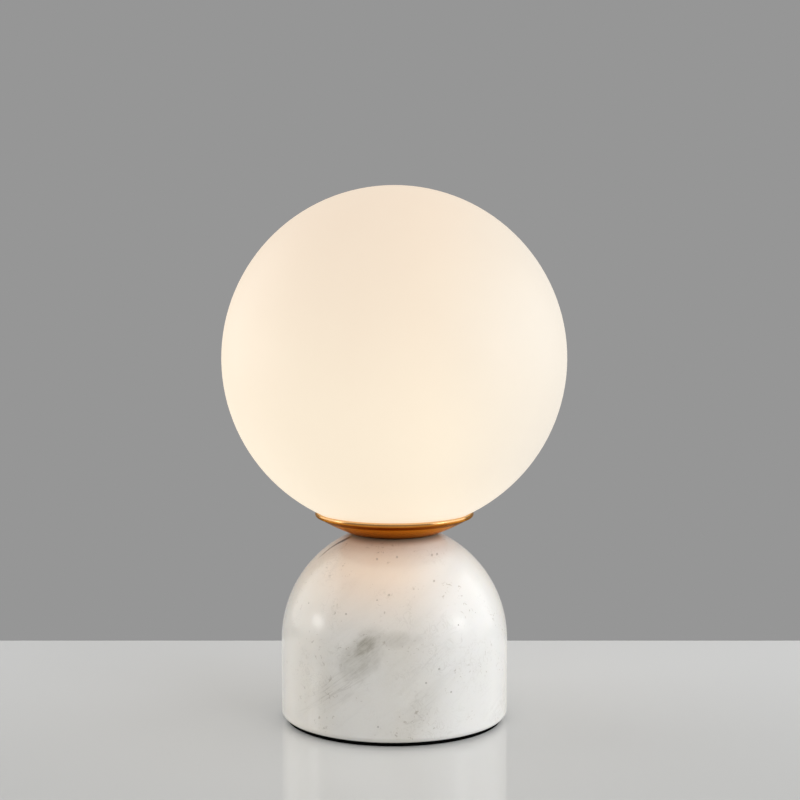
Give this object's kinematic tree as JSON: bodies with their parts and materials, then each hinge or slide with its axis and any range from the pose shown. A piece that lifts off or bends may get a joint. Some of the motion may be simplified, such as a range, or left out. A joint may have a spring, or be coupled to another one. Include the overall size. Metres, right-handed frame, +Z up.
{
  "type": "table lamp",
  "caption": "Table lamp: a glowing opal glass globe seated in a shallow brass saucer on a polished marble dome base, with a screw-in lamp inside and a thin black foot pad.",
  "frame": {"origin": "centre of the foot pad's underside, where the lamp stands", "axes": "+Z up along the lamp's axis, +Y towards the back, where the cord hole is"},
  "size_m": [0.2, 0.2, 0.3121],
  "materials": {
    "opal_glass": "blown opal glass, satin outside",
    "brass": "turned and brushed, rolled lip polished, lacquered",
    "marble": "polished white marble with soft grey veins",
    "pad_foam": "closed cell foam",
    "silicone": "moulded, translucent white",
    "spring_steel": "pressed, nickel plated",
    "zinc_steel": "zinc plated",
    "plain_brass": "machined, bare",
    "black_plastic": "moulded",
    "block_plastic": "moulded polyamide",
    "holder_plastic": "moulded, white",
    "porcelain": "glazed",
    "nickel": "thin nickel plate on rolled brass",
    "bronze": "rolled strip",
    "live_core": "brown core insulation",
    "neutral_core": "blue core insulation",
    "earth_core": "green and yellow core insulation",
    "lamp_glass": "opal diffuser",
    "lamp_plastic": "moulded, white",
    "black_glass": "opaque black glass",
    "board": "white coated aluminium board",
    "chip": "yellow phosphor over each chip"
  },
  "bodies": {
    "base": {"brass_saucer": "brass", "marble_base": "marble", "foot_pad": "pad_foam", "globe_gasket": "silicone", "globe_spider": "spring_steel", "threaded_tube": "zinc_steel", "saucer_lock_washer": "zinc_steel", "saucer_nut": "zinc_steel", "stone_washer": "zinc_steel", "tube_lock_washer": "zinc_steel", "tube_nut": "zinc_steel", "earth_tag": "plain_brass", "base_plate": "zinc_steel", "plate_inserts": "plain_brass", "plate_screws": "zinc_steel", "cord_bush": "black_plastic", "terminal_block": "block_plastic", "terminal_clamps": "plain_brass", "clamp_screws": "zinc_steel", "block_screws": "zinc_steel", "live_lead": "live_core", "neutral_lead": "neutral_core", "earth_lead": "earth_core", "holder_dome": "holder_plastic", "holder_insert": "porcelain", "holder_skirt": "holder_plastic", "grub_screw": "zinc_steel", "screw_shell": "nickel", "centre_tongue": "bronze", "shell_tongue": "bronze", "holder_terminals": "plain_brass", "terminal_screws": "zinc_steel"},
    "globe": {"glass_globe": "opal_glass"},
    "lamp_contact": {"lamp_contact": "plain_brass"},
    "lamp": {"screw_cap": "nickel", "cap_insulator": "black_glass", "lamp_housing": "lamp_plastic", "led_board": "board", "led_chips": "chip", "lamp_diffuser": "lamp_glass"}
  },
  "joints": [
    {"name": "globe_lift", "type": "slide", "parent": "base", "child": "globe", "axis": [0, 0, 1], "range_m": [0, 0.155]},
    {"name": "lamp_rise", "type": "slide", "parent": "base", "child": "lamp_contact", "axis": [0, 0, 1], "range_m": [0, 0.01634]},
    {"name": "lamp_turn", "type": "hinge", "parent": "lamp_contact", "child": "lamp", "pos_m": [0, 0, 0.146], "axis": [0, 0, 1], "range_deg": [0, 1620]}
  ],
  "couplings": [
    {"joint": "lamp_rise", "follows": "lamp_turn", "m_per_rad": 0.00057757}
  ]
}
